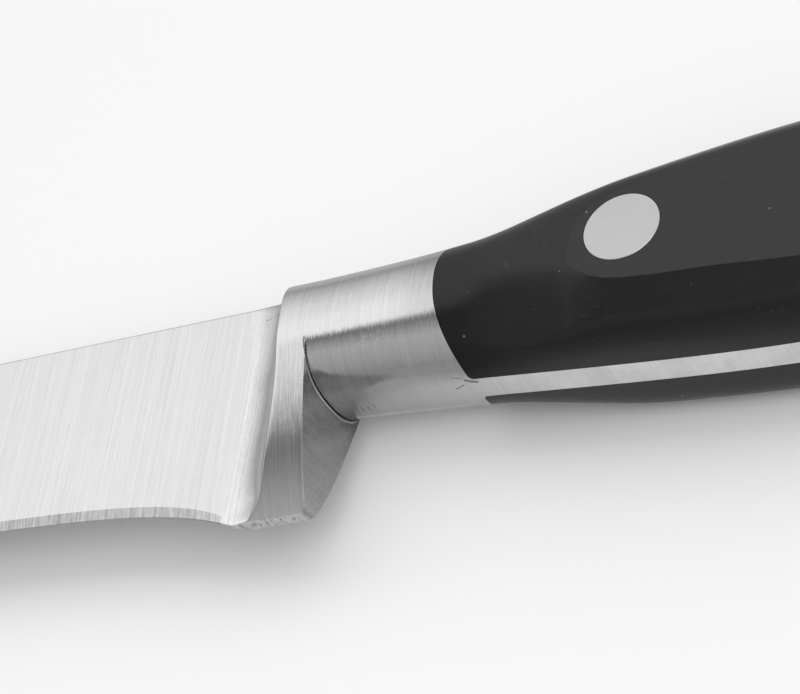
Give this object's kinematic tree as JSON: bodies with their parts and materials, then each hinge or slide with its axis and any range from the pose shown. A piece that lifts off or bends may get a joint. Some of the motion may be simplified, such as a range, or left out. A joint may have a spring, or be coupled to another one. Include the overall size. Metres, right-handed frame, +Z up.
{
  "type": "ham knife",
  "caption": "Long slim slicing knife for ham: forged blade, bolster and full tang in one piece, black grip scales riveted on each side, and a stepped heel under the bolster.",
  "frame": {"origin": "bottom centre of the bounding box, with the knife lying on the flat of its right scale", "axes": "+X from the tip to the butt, +Y from the edge to the spine, +Z up, out of the knife's left side"},
  "size_m": [0.3802, 0.0308, 0.0154],
  "materials": {
    "forged_steel": "satin, ground across the blade and brushed round the bolster",
    "grip_plastic": "dense black moulded plastic, satin, ground flat on the sides",
    "rivet_steel": "satin, ground flush with the scales"
  },
  "bodies": {
    "root": {"blade_forging": "forged_steel", "left_scale": "grip_plastic", "right_scale": "grip_plastic", "front_rivet_socket": "rivet_steel", "front_rivet_pin": "rivet_steel", "middle_rivet_socket": "rivet_steel", "middle_rivet_pin": "rivet_steel", "rear_rivet_socket": "rivet_steel", "rear_rivet_pin": "rivet_steel"}
  },
  "joints": []
}
